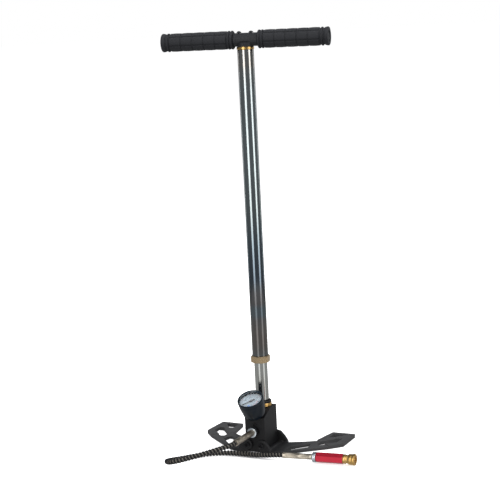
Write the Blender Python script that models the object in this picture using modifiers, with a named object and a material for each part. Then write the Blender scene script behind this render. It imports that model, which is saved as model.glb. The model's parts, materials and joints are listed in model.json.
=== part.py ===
"""Double action high pressure hand pump: T handle and outer tube sliding over a fixed inner tube,
a base block with gauge, folding feet, and a guarded hose that ends in a filter sleeve and coupler.

Frame: the origin is on the floor under the tube axis, +Z up along the tubes, -Y the gauge side,
+X to the right seen from the gauge side. Lengths in the code are millimetres times MM.
"""

import math

import bmesh
import bpy
from mathutils import Matrix, Vector

MM = 0.001
MERGE = 0.00001
GAP = 0.3

# Base block
BLOCK_HALF_WIDTH = 16.9
BLOCK_FRONT = -31.5
BLOCK_REAR = 13.5
BLOCK_TOP = 66.5
SLOPE_START = -7.0
SLOPE_DEG = 26.0
BLOCK_EDGE = 0.9

# Tubes and handle
INNER_TUBE_R = 10.3
INNER_TUBE_BORE = 8.9
INNER_TUBE_FOOT = 52.1
INNER_TUBE_TOP = 575.0
OUTER_TUBE_R = 12.4
OUTER_TUBE_BORE = 11.3
OUTER_TUBE_FOOT = 142.7
OUTER_TUBE_TOP = 617.0
NUT_FOOT = 136.2
NUT_HEIGHT = 10.4
NUT_ACROSS_FLATS = 27.0
ROD_R = 4.0
HANDLE_HEIGHT = 631.9
HANDLE_TURN_DEG = 12.0
HUB_R = 10.1
BAR_R = 7.6
BAR_HALF_LENGTH = 125.6
LEFT_GRIP_START = 17.6
RIGHT_GRIP_START = 21.3
GRIP_END = 129.0
GRIP_R = 13.9
GRIP_BORE = 7.95
HANDLE_SCREW_X = 9.3

# Gauge: bezel centre and lean of its axis towards -Y
GAUGE_CENTRE = (0.0, -42.0, 88.0)
BEZEL_R = 20.4
CASE_DEPTH = 32.5
STEM_END = 41.0
ZERO_DEG = 225.0

# Outlet on the front face
OUTLET_Z = 33.5
BLEED_Z = 43.4
FERRULE_START = -43.3
FERRULE_END = -97.3
CHAMBER_R = 4.2
BALL_Y = -11.8
BALL_R = 3.3

# Hose and coupler
HOSE_R = 4.0
COUPLER_START = (60.0, -58.9, 9.0)
COUPLER_TURN_DEG = 6.36
END_FERRULE_LENGTH = 47.5
SLEEVE_LENGTH = 41.6
SLEEVE_ACROSS_FLATS = 14.0
HOSE_ROUTE = [
    (0.0, -97.9, 33.5), (-0.7, -105.0, 33.4), (-4.6, -114.0, 32.6), (-11.5, -122.5, 31.2),
    (-21.0, -130.8, 29.0), (-32.5, -138.8, 26.0), (-45.5, -146.8, 22.5), (-59.0, -153.8, 18.9),
    (-71.8, -156.6, 15.8), (-84.2, -153.4, 12.6), (-93.8, -143.6, 9.5), (-97.3, -131.2, 6.8),
    (-94.2, -118.2, 4.9), (-86.0, -105.2, 4.2), (-75.0, -91.6, 4.2), (-63.8, -79.6, 4.2),
    (-51.2, -69.8, 4.2), (-36.8, -63.0, 4.2), (-20.5, -59.2, 4.2), (-3.0, -57.8, 4.2),
    (15.0, -58.4, 4.7), (31.0, -59.8, 6.3), (45.5, -60.2, 8.2), (59.7, -58.93, 9.0),
]
HOSE_POINTS = 62

# Folding feet
PIVOT_X = 12.0
PIVOT_Z = 12.2
EAR_THICK = 4.5
FOOT_THICK = 4.7
PEDAL_THICK = 6.2
FRONT_EAR = (BLOCK_FRONT - GAP - EAR_THICK, BLOCK_FRONT - GAP)
REAR_EAR = (BLOCK_REAR + GAP, BLOCK_REAR + GAP + EAR_THICK)
FOOT_OUTLINE = [
    (13.0, -35.9), (29.0, -37.5), (44.0, -33.0), (102.6, 14.1), (120.3, 33.2), (118.4, 84.9),
    (80.1, 83.8), (72.9, 37.9), (57.0, 28.0), (33.0, 17.0), (24.0, 17.9), (13.0, 17.9),
    (13.0, 14.2), (17.7, 14.2), (17.7, -32.2), (13.0, -32.2),
]
CREASE = ((73.1, 38.7), (103.3, 14.5))
FOOT_WINDOWS = [
    [(85.5, 57.5), (92.5, 57.0), (107.5, 77.5), (86.0, 76.5)],
    [(109.5, 55.0), (101.5, 54.5), (81.0, 30.5), (81.5, 20.0), (87.0, 17.5), (108.0, 36.0)],
    [(46.0, -20.5), (50.5, -21.0), (73.5, 3.0), (71.0, 18.0), (66.5, 18.0), (48.0, -2.0)],
]
# Ears seen along Y: the round end at the pivot, then the outer edge down to the foot, as (x, z)
FRONT_EAR_R = 7.8
FRONT_EAR_EDGE = [(17.2, 18.5), (21.5, 15.5), (25.5, 9.5), (29.0, 3.0), (29.0, 0.5)]
REAR_EAR_R = 11.7
REAR_EAR_EDGE = [(16.1, 23.6), (21.4, 22.3), (28.6, 14.5), (31.9, 9.4), (33.8, 4.2), (34.2, 0.5)]

PARTS = "hand_pump"
CUTTERS = "cutters"


def clear_scene():
    for obj in list(bpy.data.objects):
        bpy.data.objects.remove(obj, do_unlink=True)
    for name in (PARTS, CUTTERS):
        bpy.context.scene.collection.children.link(bpy.data.collections.new(name))


def mm(values):
    return Vector([value * MM for value in values])


def finish(name, colour, roughness, metallic):
    """A plain Principled finish, made once for each name."""
    if name in bpy.data.materials:
        return bpy.data.materials[name]
    material = bpy.data.materials.new(name)
    material.use_nodes = True
    shader = material.node_tree.nodes["Principled BSDF"]
    shader.inputs["Base Color"].default_value = (*colour, 1.0)
    shader.inputs["Roughness"].default_value = roughness
    shader.inputs["Metallic"].default_value = metallic
    return material


def steel():
    return finish("polished_steel", (0.78, 0.79, 0.80), 0.16, 1.0)


def zinc():
    return finish("zinc_plate", (0.72, 0.74, 0.76), 0.3, 1.0)


def nickel():
    return finish("nickel_plate", (0.66, 0.62, 0.55), 0.35, 1.0)


def brass():
    return finish("brass", (0.70, 0.48, 0.20), 0.28, 1.0)


def black_anodised():
    return finish("black_anodised", (0.03, 0.03, 0.033), 0.38, 0.4)


def rubber():
    return finish("black_rubber", (0.03, 0.031, 0.034), 0.75, 0.0)


def plastic():
    return finish("black_plastic", (0.02, 0.025, 0.035), 0.35, 0.0)


def register(obj, material=None, parent=None):
    """Puts an object into the parts collection with its finish and its parent."""
    bpy.data.collections[PARTS].objects.link(obj)
    if material:
        obj.data.materials.append(material)
    if parent:
        obj.parent = parent
    return obj


def empty_at(name, location, rotation=(0.0, 0.0, 0.0), parent=None):
    obj = bpy.data.objects.new(name, None)
    obj.location = mm(location)
    obj.rotation_euler = [math.radians(angle) for angle in rotation]
    return register(obj, parent=parent)


def turned_mesh(name, profile, closed):
    """The outline to be turned: (radius, height) pairs, down the outer side from top to bottom."""
    mesh = bpy.data.meshes.new(name)
    points = [(radius * MM, 0.0, height * MM) for radius, height in profile]
    edges = [(i, i + 1) for i in range(len(points) - 1)]
    if closed:
        edges.append((len(points) - 1, 0))
    mesh.from_pydata(points, edges, [])
    return mesh


def turned(name, profile, material, steps=20, closed=False, at=(0, 0, 0), turn=(0, 0, 0), parent=None):
    obj = bpy.data.objects.new(name, turned_mesh(name, profile, closed))
    obj.location = mm(at)
    obj.rotation_euler = [math.radians(angle) for angle in turn]
    register(obj, material, parent)
    screw = obj.modifiers.new("turn", "SCREW")
    screw.axis = "Z"
    screw.angle = math.tau
    screw.steps = steps
    screw.render_steps = steps
    screw.use_merge_vertices = True
    screw.merge_threshold = MERGE
    screw.use_smooth_shade = True
    return obj


def ring(name, outer, inner, top, foot, material, **options):
    profile = [(inner, top), (outer, top), (outer, foot), (inner, foot)]
    return turned(name, profile, material, closed=True, **options)


def plug(name, radius, top, foot, material, **options):
    profile = [(0.0, top), (radius, top), (radius, foot), (0.0, foot)]
    return turned(name, profile, material, **options)


def as_cutter(obj):
    """Moves an object to the cutters and hides it from renders."""
    bpy.data.collections[PARTS].objects.unlink(obj)
    bpy.data.collections[CUTTERS].objects.link(obj)
    obj.hide_render = True
    obj.display_type = "WIRE"
    return obj


def combine(target, other, operation="DIFFERENCE"):
    modifier = target.modifiers.new(operation.lower(), "BOOLEAN")
    modifier.operation = operation
    modifier.solver = "EXACT"
    modifier.object = as_cutter(other)


def drill(target, radius, start, end, steps=14):
    """Cuts a round hole between two points given in the world, in millimetres."""
    axis = Vector(end) - Vector(start)
    bit = plug(target.name + "_bore", radius, axis.length, 0.0, None, steps=steps, at=start)
    bit.rotation_euler = Vector((0, 0, 1)).rotation_difference(axis).to_euler()
    combine(target, bit)


def block(name, low, high, material, parent=None, edge=0.0):
    """A box between two corners, with its scale applied and its edges eased."""
    bpy.ops.mesh.primitive_cube_add(size=1.0)
    obj = bpy.context.active_object
    obj.name = obj.data.name = name
    for collection in list(obj.users_collection):
        collection.objects.unlink(obj)
    size = mm(high) - mm(low)
    obj.data.transform(Matrix.Diagonal((*size, 1.0)))
    obj.location = (mm(low) + mm(high)) / 2
    register(obj, material, parent)
    if edge:
        bevel = obj.modifiers.new("edge", "BEVEL")
        bevel.width = edge * MM
        bevel.segments = 2
        bevel.limit_method = "ANGLE"
    return obj


def hexagon(name, across, top, foot, material, at=(0, 0, 0), turn=(0, 0, 0), parent=None, chamfer=1.0):
    """A hexagon bar with turned chamfers; one pair of flats faces local X."""
    mesh = bpy.data.meshes.new(name)
    form = bmesh.new()
    corner = across / math.sqrt(3.0) * MM
    height = (top - foot) * MM
    bmesh.ops.create_cone(form, cap_ends=True, segments=6, radius1=corner, radius2=corner, depth=height)
    bmesh.ops.translate(form, verts=form.verts, vec=(0.0, 0.0, (top + foot) / 2 * MM))
    form.to_mesh(mesh)
    form.free()
    obj = bpy.data.objects.new(name, mesh)
    obj.location = mm(at)
    obj.rotation_euler = [math.radians(angle) for angle in turn]
    register(obj, material, parent)
    wide = across / math.sqrt(3.0) + 0.5
    face = across / 2 - 0.1
    profile = [(0.0, top + 0.2), (face, top + 0.2), (wide, top - chamfer), (wide, foot + chamfer),
               (face, foot - 0.2), (0.0, foot - 0.2)]
    limit = turned(name + "_chamfer", profile, None, steps=16, at=at, turn=turn)
    limit.parent = parent
    combine(obj, limit, "INTERSECT")
    return obj


def plate(name, outline, low, high, material, parent=None):
    """A flat outline of (x, y) points, extruded between two heights and turned into a welded mesh."""
    curve = bpy.data.curves.new(name, "CURVE")
    curve.dimensions = "2D"
    curve.fill_mode = "BOTH"
    curve.extrude = (high - low) / 2 * MM
    spline = curve.splines.new("POLY")
    spline.points.add(len(outline) - 1)
    for point, (x, y) in zip(spline.points, outline):
        point.co = (x * MM, y * MM, 0.0, 1.0)
    spline.use_cyclic_u = True
    guide = bpy.data.objects.new(name + "_curve", curve)
    guide.location = (0.0, 0.0, (high + low) / 2 * MM)
    bpy.context.scene.collection.objects.link(guide)
    return welded_mesh(name, guide, material, parent)


def welded_mesh(name, guide, material, parent=None):
    """Replaces a curve object with a mesh object of the same shape, its caps welded."""
    bpy.context.view_layer.update()
    evaluated = guide.evaluated_get(bpy.context.evaluated_depsgraph_get())
    mesh = bpy.data.meshes.new_from_object(evaluated)
    mesh.name = name
    form = bmesh.new()
    form.from_mesh(mesh)
    bmesh.ops.remove_doubles(form, verts=form.verts, dist=MERGE)
    bmesh.ops.recalc_face_normals(form, faces=form.faces)
    form.to_mesh(mesh)
    form.free()
    obj = bpy.data.objects.new(name, mesh)
    obj.matrix_world = guide.matrix_world.copy()
    bpy.data.objects.remove(guide, do_unlink=True)
    mesh.materials.clear()
    return register(obj, material, parent)


def rod_along(name, points, radius, resolution, material, parent=None):
    """A round bar through points in metres, as a curve with filled caps."""
    curve = bpy.data.curves.new(name, "CURVE")
    curve.dimensions = "3D"
    curve.bevel_depth = radius * MM
    curve.bevel_resolution = resolution
    curve.use_fill_caps = True
    spline = curve.splines.new("POLY")
    spline.points.add(len(points) - 1)
    for point, place in zip(spline.points, points):
        point.co = (*place, 1.0)
    return register(bpy.data.objects.new(name, curve), material, parent)


def catmull(points, count):
    """Evenly spaced points on a smooth curve through the given ones."""
    ends = [2 * points[0] - points[1]] + points + [2 * points[-1] - points[-2]]
    fine = []
    for i in range(1, len(ends) - 2):
        p0, p1, p2, p3 = ends[i - 1:i + 3]
        for step in range(24):
            t = step / 24
            fine.append(0.5 * (2 * p1 + (p2 - p0) * t + (2 * p0 - 5 * p1 + 4 * p2 - p3) * t * t
                               + (3 * p1 - p0 - 3 * p2 + p3) * t ** 3))
    fine.append(points[-1])
    lengths = [0.0]
    for a, b in zip(fine, fine[1:]):
        lengths.append(lengths[-1] + (b - a).length)
    spaced = []
    k = 0
    for n in range(count):
        want = lengths[-1] * n / (count - 1)
        while k < len(lengths) - 2 and lengths[k + 1] < want:
            k += 1
        span = lengths[k + 1] - lengths[k]
        spaced.append(fine[k].lerp(fine[k + 1], (want - lengths[k]) / span))
    return spaced


def coil(name, radius, wire, low, high, turns, material, parent=None, at=(0, 0, 0), turn=(0, 0, 0)):
    """A compression spring along local Z."""
    per_turn = 8
    total = per_turn * turns
    points = []
    for n in range(total + 1):
        angle = math.tau * n / per_turn
        height = low + (high - low) * n / total
        points.append(mm((radius * math.cos(angle), radius * math.sin(angle), height)))
    obj = rod_along(name, points, wire, 1, material, parent)
    obj.location = mm(at)
    obj.rotation_euler = [math.radians(angle) for angle in turn]
    return obj


# ---------------------------------------------------------------- base

def make_base_block():
    low = (-BLOCK_HALF_WIDTH, BLOCK_FRONT, 0.0)
    high = (BLOCK_HALF_WIDTH, BLOCK_REAR, BLOCK_TOP)
    body = block("base_block", low, high, black_anodised(), edge=BLOCK_EDGE)
    knife = block("slope_knife", (-30, -60, 0), (30, 0, 40), None)
    knife.data.transform(Matrix.Translation(knife.location))
    knife.location = mm((0.0, SLOPE_START, BLOCK_TOP))
    knife.rotation_euler.x = math.radians(SLOPE_DEG)
    combine(body, knife)
    drill(body, 12.3, (0, 0, 60.0), (0, 0, 80.0), 24)
    drill(body, INNER_TUBE_R + GAP, (0, 0, 50.0), (0, 0, 62.0), 26)
    drill(body, 2.2, (0, 0, 31.6), (0, 0, 52.0), 12)
    drill(body, 1.8, (0, 1.4, OUTLET_Z), (0, -9.5, OUTLET_Z), 14)
    drill(body, CHAMBER_R, (0, -8.5, OUTLET_Z), (0, -28.0, OUTLET_Z), 14)
    drill(body, 4.8, (0, -26.0, OUTLET_Z), (0, -40.0, OUTLET_Z), 14)
    drill(body, 4.9, gauge_point(30.0), gauge_point(STEM_END + 0.4), 14)
    drill(body, 1.5, gauge_point(40.0), gauge_point(58.5), 12)
    drill(body, 2.8, (0, -24.5, BLEED_Z), (0, -40.0, BLEED_Z), 12)
    drill(body, 1.0, (0, -18.8, BLEED_Z), (0, -26.0, BLEED_Z), 10)
    for side in (-1, 1):
        x = side * PIVOT_X
        drill(body, 2.5, (x, -24.0, PIVOT_Z), (x, -40.0, PIVOT_Z), 12)
        drill(body, 2.5, (x, 6.0, PIVOT_Z), (x, 20.0, PIVOT_Z), 12)


def gauge_point(depth):
    """A point on the gauge axis, the given depth behind the bezel."""
    lean = math.radians(SLOPE_DEG)
    x, y, z = GAUGE_CENTRE
    return (x, y + depth * math.sin(lean), z - depth * math.cos(lean))


def make_tube_seat():
    collar = [(10.6, 71.8), (13.4, 71.8), (14.0, 71.2), (14.0, 66.8), (12.0, 66.8), (12.0, 60.3),
              (10.6, 60.3)]
    turned("tube_collar", collar, brass(), closed=True, steps=22)
    bumper = [(10.6, 75.4), (12.6, 75.4), (13.8, 74.4), (13.8, 72.1), (10.6, 72.1)]
    turned("landing_bumper", bumper, rubber(), closed=True, steps=22)
    ring("tube_foot_seal", 10.2, 8.6, 51.8, 50.3, rubber(), steps=16)
    ring("inner_tube", INNER_TUBE_R, INNER_TUBE_BORE, INNER_TUBE_TOP, INNER_TUBE_FOOT,
         finish("chrome", (0.8, 0.81, 0.82), 0.08, 1.0), steps=28)
    head = [(4.3, 592.0), (10.2, 592.0), (11.0, 591.2), (11.0, 587.0), (9.2, 587.0), (9.2, 583.6),
            (11.0, 583.6), (11.0, 575.3), (8.6, 575.3), (8.6, 567.0), (4.3, 567.0)]
    turned("tube_piston", head, brass(), closed=True, steps=20)
    ring("tube_piston_seal", 11.0, 9.5, 586.7, 583.9, rubber(), steps=20)


def make_outlet_valve():
    along = dict(turn=(90, 0, 0))
    ball = [(0.0, BALL_R)]
    ball += [(BALL_R * math.sin(math.pi * k / 8), BALL_R * math.cos(math.pi * k / 8)) for k in range(1, 8)]
    ball += [(0.0, -BALL_R)]
    turned("outlet_valve_ball", ball, steel(), steps=12, at=(0, BALL_Y, OUTLET_Z), **along)
    coil("outlet_valve_spring", 2.9, 0.45, 17.2, 25.2, 4, steel(), at=(0, 0, OUTLET_Z), **along)


def make_bleed_screw():
    head = [(0.0, 1.6), (2.2, 1.6), (2.5, 1.2), (2.5, -6.0), (0.0, -6.0)]
    screw = turned("bleed_screw", head, zinc(), steps=12, at=(0, BLOCK_FRONT, BLEED_Z), turn=(90, 0, 0))
    key = hexagon("bleed_screw_key", 2.5, 3.0, -0.6, None, at=(0, BLOCK_FRONT, BLEED_Z), turn=(90, 0, 0),
                  chamfer=0.05)
    combine(screw, key)


def make_hose_fitting():
    along = dict(at=(0, 0, OUTLET_Z), turn=(90, 0, 0))
    ring("fitting_washer", 6.8, 5.1, 33.8, 31.8, finish("copper_washer", (0.7, 0.4, 0.25), 0.35, 1.0),
         steps=16, **along)
    body = [(1.5, 43.0), (7.0, 43.0), (7.8, 42.2), (7.8, 39.0), (7.2, 38.4), (6.3, 38.4), (6.3, 34.1),
            (4.5, 34.1), (4.5, 26.6), (1.5, 26.6)]
    turned("hose_fitting", body, zinc(), closed=True, steps=20, **along)
    ferrule = [(0.0, -FERRULE_END), (4.5, -FERRULE_END), (5.1, -FERRULE_END - 0.7)]
    crimps = 3
    for n in range(crimps):
        middle = -FERRULE_END - 12.0 - 13.0 * n
        ferrule += [(5.1, middle + 2.2), (4.7, middle + 1.2), (4.7, middle - 1.2), (5.1, middle - 2.2)]
    ferrule += [(5.1, -FERRULE_START + 0.7), (4.5, -FERRULE_START), (0.0, -FERRULE_START)]
    turned("base_ferrule", ferrule, nickel(), steps=16, **along)


# ---------------------------------------------------------------- gauge

def make_gauge():
    axis = empty_at("gauge_axis", GAUGE_CENTRE, (SLOPE_DEG, 0, 0))
    bezel = [(17.9, 0.0), (19.7, 0.0), (BEZEL_R, -0.8), (BEZEL_R, -5.0), (19.0, -5.0), (19.0, -1.6),
             (17.5, -1.3)]
    turned("gauge_bezel", bezel, plastic(), closed=True, steps=28, parent=axis)
    plug("gauge_lens", 18.6, -1.95, -3.3, finish("clear_lens", (0.9, 0.93, 0.95), 0.03, 0.0), steps=22,
         parent=axis)
    ring("gauge_dial", 18.2, 1.3, -7.2, -7.8, finish("dial_face", (0.72, 0.80, 0.84), 0.5, 0.0), steps=22,
         parent=axis)
    case = [(18.6, -5.3), (20.2, -5.3), (20.0, -9.0), (18.9, -18.0), (17.6, -26.0), (15.6, -31.0),
            (14.4, -CASE_DEPTH), (4.3, -CASE_DEPTH), (4.3, -29.8), (13.2, -29.8), (15.4, -25.5),
            (17.2, -17.0), (17.9, -8.2), (18.6, -8.1)]
    turned("gauge_case", case, plastic(), closed=True, steps=26, parent=axis)
    stem = [(1.2, -24.0), (3.7, -24.0), (3.7, -33.4), (4.6, -33.4), (4.6, -STEM_END), (1.2, -STEM_END)]
    turned("gauge_stem", stem, brass(), closed=True, steps=14, parent=axis)
    arc = []
    for n in range(17):
        angle = math.radians(-65.0 + 290.0 * n / 16)
        arc.append(mm((10.5 * math.cos(angle), 10.5 * math.sin(angle), -17.0)))
    rod_along("gauge_bourdon_tube", arc, 1.4, 1, brass(), axis)
    make_needle(axis)


def make_needle(axis):
    """Pointer blade with a broad tail and a hub; its tip stands at zero, low on the left."""
    blade = [(15.0, 0.35), (15.0, -0.35), (2.0, -0.9), (-4.0, -1.2), (-6.5, -2.0), (-6.5, 2.0), (-4.0, 1.2),
             (2.0, 0.9)]
    needle = plate("gauge_needle", blade, -5.9, -5.2, finish("needle", (0.04, 0.05, 0.08), 0.4, 0.0), axis)
    needle.location = (0.0, 0.0, -5.55 * MM)
    needle.rotation_euler = (0.0, 0.0, math.radians(ZERO_DEG))
    hub = plug("needle_hub", 2.1, -4.7, -6.3, None, steps=12, parent=axis)
    combine(needle, hub, "UNION")
    shaft = plug("needle_shaft", 0.9, -5.0, -9.0, None, steps=10, parent=axis)
    combine(needle, shaft, "UNION")


# ---------------------------------------------------------------- pump tubes and handle

def make_moving_tube(handle):
    ring("outer_tube", OUTER_TUBE_R, OUTER_TUBE_BORE, OUTER_TUBE_TOP, OUTER_TUBE_FOOT, steel(), steps=28,
         parent=handle)
    nut = hexagon("gland_nut", NUT_ACROSS_FLATS, NUT_FOOT + NUT_HEIGHT, NUT_FOOT, brass(), parent=handle,
                  chamfer=1.4)
    bore = [(0.0, NUT_FOOT + 20), (12.7, NUT_FOOT + 20), (12.7, NUT_FOOT + 3.0), (10.6, NUT_FOOT + 3.0),
            (10.6, NUT_FOOT - 5), (0.0, NUT_FOOT - 5)]
    combine(nut, turned("gland_nut_bore", bore, None, steps=28))
    ring("gland_seal", 12.4, 10.6, NUT_FOOT + 6.1, NUT_FOOT + 3.4, rubber(), steps=20)
    ring("top_ring", 13.1, 3.9, 621.4, OUTER_TUBE_TOP + GAP, brass(), steps=22, parent=handle)
    cap = [(0.0, 623.6), (3.5, 623.6), (3.5, 617.0), (11.0, 617.0), (11.0, 598.0), (4.3, 598.0),
           (4.3, 610.0), (0.0, 610.0)]
    turned("top_plug", cap, finish("aluminium", (0.7, 0.71, 0.72), 0.35, 1.0), steps=20, parent=handle)
    plug("pump_rod", ROD_R, 609.7, 78.4, steel(), steps=12, parent=handle)
    piston = [(0.0, 78.1), (8.5, 78.1), (8.5, 70.5), (7.0, 70.5), (7.0, 67.5), (8.5, 67.5), (8.5, 58.0),
              (0.0, 58.0)]
    turned("rod_piston", piston, brass(), steps=16, parent=handle)
    ring("rod_piston_seal", 8.6, 7.3, 70.2, 67.8, rubber(), steps=16)


def make_hub(handle):
    centre = (0, 0, HANDLE_HEIGHT)
    left, right = GAP - LEFT_GRIP_START, RIGHT_GRIP_START - GAP
    half = [(0.0, right), (HUB_R - 1.0, right), (HUB_R, right - 1.0), (HUB_R, left + 1.0),
            (HUB_R - 1.0, left), (0.0, left)]
    hub = turned("handle_hub", half, black_anodised(), steps=22, at=centre, turn=(0, 90, 0), parent=handle)
    boss = plug("hub_boss", 12.9, 628.0, 621.7, None, steps=24)
    combine(hub, boss, "UNION")
    tunnel = plug("hub_tunnel", BAR_R + GAP, 40.0, -40.0, None, steps=16, at=centre, turn=(0, 90, 0))
    tunnel.parent = handle
    combine(hub, tunnel)
    stud = plug("hub_stud_hole", 3.8, 624.7, 600.0, None, steps=12)
    combine(hub, stud)
    tube = ring("handle_bar", BAR_R, 5.8, BAR_HALF_LENGTH, -BAR_HALF_LENGTH, steel(), steps=14, at=centre,
                turn=(0, 90, 0), parent=handle)
    for side in (-1, 1):
        x = side * HANDLE_SCREW_X + 0.5
        for piece in (hub, tube):
            hole = plug(piece.name + "_hole", 2.3, 660.0, 622.9, None, steps=10, at=(x, 0, 0))
            hole.parent = handle
            combine(piece, hole)
        name = "handle_screw_left" if side < 0 else "handle_screw_right"
        seat_height = HANDLE_HEIGHT + HUB_R - 0.4
        foot = seat_height + GAP
        screw = [(0.0, foot + 3.0), (1.7, foot + 2.7), (3.1, foot + 1.7), (3.9, foot + 0.4), (3.9, foot),
                 (2.0, foot), (2.0, 623.2), (0.0, 623.2)]
        turned(name, screw, zinc(), steps=12, at=(x, 0, 0), parent=handle)
        seat = plug("hub_screw_seat", 4.3, 660.0, seat_height, None, steps=14, at=(x, 0, 0))
        seat.parent = handle
        combine(hub, seat)


def grip_profile(inner_end):
    """Blocks and rings of one grip, from its outer end to its inner end."""
    groove = 1.3
    blocks = 5
    end_rings = [(GRIP_END, GRIP_END - 2.3), (GRIP_END - 4.3, GRIP_END - 6.6)]
    inner_rings = [(inner_end + 6.6, inner_end + 4.3), (inner_end + 2.3, inner_end)]
    top = GRIP_END - 8.6
    foot = inner_end + 8.6
    pitch = (top - foot + groove) / blocks
    bands = [(top - n * pitch, top - n * pitch - pitch + groove) for n in range(blocks)]
    profile = []
    for start, stop in end_rings:
        profile += [(GRIP_R, start), (GRIP_R, stop), (GRIP_R - 1.8, stop), (GRIP_R - 1.8, stop - 1.9)]
    profile[-1] = (GRIP_R - 1.8, bands[0][0])
    for n, (start, stop) in enumerate(bands):
        profile += [(GRIP_R - 0.4, start), (GRIP_R - 0.4, stop), (GRIP_R - 1.6, stop)]
        profile.append((GRIP_R - 1.6, bands[n + 1][0] if n + 1 < blocks else inner_rings[0][0]))
    for n, (start, stop) in enumerate(inner_rings):
        profile += [(GRIP_R, start), (GRIP_R, stop)]
        if n + 1 < len(inner_rings):
            profile += [(GRIP_R - 1.8, stop), (GRIP_R - 1.8, inner_rings[n + 1][0])]
    return profile


def make_grips(handle):
    centre = (0, 0, HANDLE_HEIGHT)
    for name, turn, inner_end in (("left_grip", -90, LEFT_GRIP_START), ("right_grip", 90, RIGHT_GRIP_START)):
        outline = grip_profile(inner_end) + [(GRIP_BORE, inner_end), (GRIP_BORE, GRIP_END)]
        turned(name, outline, rubber(), closed=True, steps=16, at=centre, turn=(0, turn, 0),
               parent=handle)
    for name, turn in (("left_end_plug", -90), ("right_end_plug", 90)):
        outer = BAR_HALF_LENGTH + GAP
        cap = [(0.0, outer + 2.7), (6.4, outer + 2.7), (7.4, outer + 1.9), (7.4, outer), (5.4, outer),
               (5.4, outer - 9.3), (0.0, outer - 9.3)]
        turned(name, cap, plastic(), steps=12, at=centre, turn=(0, turn, 0), parent=handle)


# ---------------------------------------------------------------- feet

def make_foot(name, side):
    """One folding foot, on an empty on its hinge line; side is +1 for the right foot."""
    hinge = empty_at(name + "_hinge", (side * PIVOT_X, 0, PIVOT_Z))
    outline = [(side * x, y) for x, y in FOOT_OUTLINE]
    foot = plate(name, outline, 0.0, PEDAL_THICK, finish("grey_casting", (0.09, 0.09, 0.095), 0.5, 0.5))
    combine(foot, arm_top_knife(name, side))
    combine(foot, ear(name, side, FRONT_EAR, FRONT_EAR_R, FRONT_EAR_EDGE), "UNION")
    combine(foot, ear(name, side, REAR_EAR, REAR_EAR_R, REAR_EAR_EDGE), "UNION")
    rib_low = (18.0, BLOCK_FRONT - 2.0, 0.7)
    rib_high = (24.3, BLOCK_REAR + 2.0, 6.9)
    corners = sorted((side * rib_low[0], side * rib_high[0]))
    rib = block(name + "_rib", (corners[0], *rib_low[1:]), (corners[1], *rib_high[1:]), None)
    combine(foot, rib, "UNION")
    for window in FOOT_WINDOWS:
        opening = plate(name + "_window", [(side * x, y) for x, y in window], -5.0, 12.0, None)
        combine(foot, opening)
    drill(foot, 2.5, (side * PIVOT_X, -50.0, PIVOT_Z), (side * PIVOT_X, 40.0, PIVOT_Z), 12)
    foot.parent = hinge
    foot.location -= hinge.location


def ear(name, side, across, radius, edge):
    """An upright plate across the hinge: round about the pivot, and straight to the edge's points."""
    first = math.degrees(math.atan2(edge[0][1] - PIVOT_Z, edge[0][0] - PIVOT_X)) + 14.0
    outline = []
    steps = 16
    for n in range(steps + 1):
        angle = math.radians(first + (270.0 - first) * n / steps)
        outline.append((PIVOT_X + radius * math.cos(angle), PIVOT_Z + radius * math.sin(angle)))
    outline += [(PIVOT_X, edge[-1][1])] * (radius < PIVOT_Z - 1.0)
    outline += reversed(edge)
    low, high = across
    shape = plate(name + "_ear", [(side * x, z) for x, z in outline], -high, -low, None)
    shape.matrix_world = Matrix.Rotation(math.radians(90.0), 4, "X") @ shape.matrix_world
    return shape


def arm_top_knife(name, side):
    """Takes the arm down to its own thickness on the inner side of the crease."""
    a, b = (Vector((side * x, y)) for x, y in CREASE)
    along = (b - a).normalized()
    inward = Vector((-side * 0.7, -0.7)).normalized()
    across = (inward - along * inward.dot(along)).normalized()
    corners = [a - along * 60, b + along * 60, b + along * 60 + across * 160, a - along * 60 + across * 160]
    return plate(name + "_arm_knife", [tuple(corner) for corner in corners], FOOT_THICK, 14.0, None)


def make_pivot_screws():
    places = {
        "pivot_screw_front_left": (-1, 1), "pivot_screw_front_right": (1, 1),
        "pivot_screw_rear_left": (-1, -1), "pivot_screw_rear_right": (1, -1),
    }
    for name, (side, front) in places.items():
        face = FRONT_EAR[0] if front > 0 else REAR_EAR[1]
        profile = [(0.0, 2.9), (3.6, 2.9), (4.4, 2.1), (4.4, GAP), (2.2, GAP), (2.2, -11.6), (0.0, -11.6)]
        screw = turned(name, profile, zinc(), steps=12, at=(side * PIVOT_X, face, PIVOT_Z),
                       turn=(90 * front, 0, 0))
        key = plug(name + "_key", 1.5, 4.0, 1.4, None, steps=6, at=(side * PIVOT_X, face, PIVOT_Z),
                   turn=(90 * front, 0, 0))
        combine(screw, key)


# ---------------------------------------------------------------- hose and coupler

def make_hose():
    points = catmull([mm(point) for point in HOSE_ROUTE], HOSE_POINTS)
    rod_along("hose", points, HOSE_R, 2, rubber())


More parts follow.
